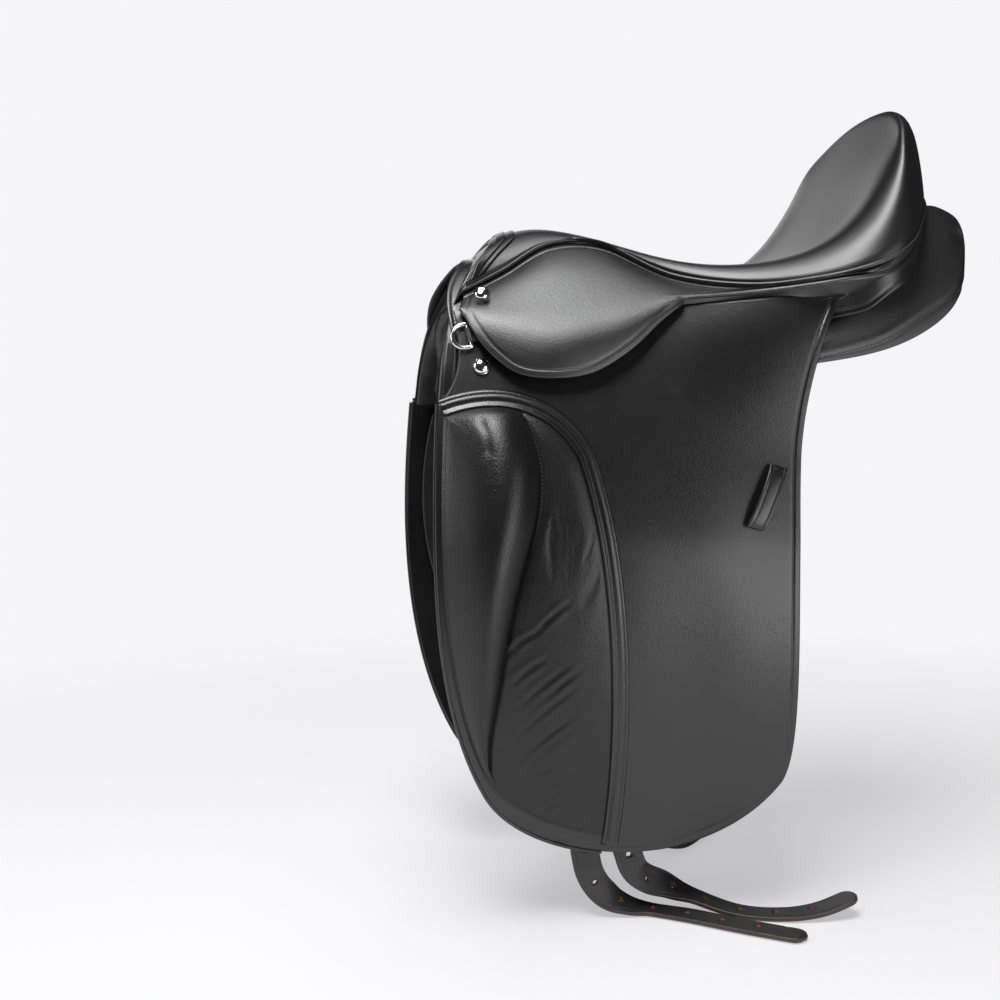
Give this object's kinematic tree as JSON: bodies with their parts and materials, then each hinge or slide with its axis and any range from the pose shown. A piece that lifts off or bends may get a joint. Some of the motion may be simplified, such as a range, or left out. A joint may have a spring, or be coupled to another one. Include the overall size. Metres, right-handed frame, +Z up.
{
  "type": "dressage saddle",
  "caption": "Black leather dressage saddle with deep seat, high cantle, long straight flaps with knee blocks, skirts over stirrup bars, and long girth straps.",
  "frame": {"origin": "on the horse's back, in the middle plane, 90 mm under the lowest point of the seat", "axes": "+X back to the cantle, +Y to the horse's right, +Z up"},
  "size_m": [0.4798, 0.3564, 0.7239],
  "materials": {
    "seat_leather": "smooth satin calf leather",
    "flap_leather": "satin grained cowhide",
    "grip_leather": "soft matt calf leather",
    "panel_leather": "soft satin leather",
    "strap_leather": "bridle leather with tan cut edges",
    "tree_wood": "laminated beech",
    "foam": "foam with cloth face",
    "webbing": "linen webbing",
    "tree_steel": "painted",
    "bar_steel": "satin",
    "chrome": "polished"
  },
  "bodies": {
    "saddle": {"tree_head": "tree_wood", "tree_rail_left": "tree_wood", "tree_rail_right": "tree_wood", "tree_cantle": "tree_wood", "head_plate": "tree_steel", "head_rivets": "tree_steel", "seat_webs": "webbing", "girth_web_front": "webbing", "girth_web_rear": "webbing", "seat_foam": "foam", "seat_cover": "seat_leather", "seat_welt": "seat_leather", "cantle_band": "seat_leather", "head_facing": "flap_leather", "panel_collar": "panel_leather", "panel_left": "panel_leather", "panel_right": "panel_leather", "gullet_lining": "webbing", "point_pocket_left": "flap_leather", "point_pocket_right": "flap_leather", "sweat_flap_left": "panel_leather", "sweat_flap_right": "panel_leather", "flap_head_left": "flap_leather", "flap_head_right": "flap_leather", "skirt_top_left": "flap_leather", "skirt_top_right": "flap_leather", "stirrup_bar_left": "bar_steel", "stirrup_bar_right": "bar_steel", "catch_pin_left": "bar_steel", "catch_pin_right": "bar_steel", "saddle_nails": "chrome", "flap_nails": "chrome", "dee_chape_left": "strap_leather", "dee_chape_right": "strap_leather"},
    "flap_left": {"flap_left": "flap_leather", "knee_block_left": "foam", "grip_left": "grip_leather", "keeper_left": "strap_leather"},
    "skirt_left": {"skirt_left": "flap_leather"},
    "catch_left": {"catch_left": "bar_steel"},
    "dee_left": {"dee_left": "chrome"},
    "billet_front_left": {"billet_front_left": "strap_leather", "billet_front_left_end": "strap_leather"},
    "billet_rear_left": {"billet_rear_left": "strap_leather", "billet_rear_left_end": "strap_leather"},
    "flap_right": {"flap_right": "flap_leather", "knee_block_right": "foam", "grip_right": "grip_leather", "keeper_right": "strap_leather"},
    "skirt_right": {"skirt_right": "flap_leather"},
    "catch_right": {"catch_right": "bar_steel"},
    "dee_right": {"dee_right": "chrome"},
    "billet_front_right": {"billet_front_right": "strap_leather", "billet_front_right_end": "strap_leather"},
    "billet_rear_right": {"billet_rear_right": "strap_leather", "billet_rear_right_end": "strap_leather"}
  },
  "joints": [
    {"name": "flap_left_lift", "type": "hinge", "parent": "saddle", "child": "flap_left", "pos_m": [-0.272, -0.12442, -0.031], "axis": [-0.967, 0.0505, -0.2497], "range_deg": [0, 50]},
    {"name": "skirt_left_lift", "type": "hinge", "parent": "saddle", "child": "skirt_left", "pos_m": [-0.249, -0.112, 0.047], "axis": [-0.9947, 0.087, -0.0544], "range_deg": [0, 60]},
    {"name": "catch_left_turn", "type": "hinge", "parent": "saddle", "child": "catch_left", "pos_m": [-0.13129, -0.12204, 0.02683], "axis": [-0.0637, -0.9591, 0.2756], "range_deg": [0, 90]},
    {"name": "dee_left_swing", "type": "hinge", "parent": "saddle", "child": "dee_left", "pos_m": [-0.244, -0.11437, 0.0255], "axis": [-0.1851, 0.2857, 0.9403], "range_deg": [0, 40]},
    {"name": "billet_front_left_swing", "type": "hinge", "parent": "saddle", "child": "billet_front_left", "pos_m": [-0.1, -0.10646, 0.044], "axis": [0.0659, 0.9978, 0], "range_deg": [0, 10]},
    {"name": "billet_rear_left_swing", "type": "hinge", "parent": "saddle", "child": "billet_rear_left", "pos_m": [-0.062, -0.1132, 0.044], "axis": [-0.0659, -0.9978, 0], "range_deg": [0, 10]},
    {"name": "flap_right_lift", "type": "hinge", "parent": "saddle", "child": "flap_right", "pos_m": [-0.272, 0.12442, -0.031], "axis": [0.967, 0.0505, 0.2497], "range_deg": [0, 50]},
    {"name": "skirt_right_lift", "type": "hinge", "parent": "saddle", "child": "skirt_right", "pos_m": [-0.249, 0.112, 0.047], "axis": [0.9947, 0.087, 0.0544], "range_deg": [0, 60]},
    {"name": "catch_right_turn", "type": "hinge", "parent": "saddle", "child": "catch_right", "pos_m": [-0.13129, 0.12204, 0.02683], "axis": [0.0637, -0.9591, -0.2756], "range_deg": [0, 90]},
    {"name": "dee_right_swing", "type": "hinge", "parent": "saddle", "child": "dee_right", "pos_m": [-0.244, 0.11437, 0.0255], "axis": [0.1851, 0.2857, -0.9403], "range_deg": [0, 40]},
    {"name": "billet_front_right_swing", "type": "hinge", "parent": "saddle", "child": "billet_front_right", "pos_m": [-0.1, 0.10646, 0.044], "axis": [-0.0659, 0.9978, 0], "range_deg": [0, 10]},
    {"name": "billet_rear_right_swing", "type": "hinge", "parent": "saddle", "child": "billet_rear_right", "pos_m": [-0.062, 0.1132, 0.044], "axis": [0.0659, -0.9978, 0], "range_deg": [0, 10]}
  ]
}
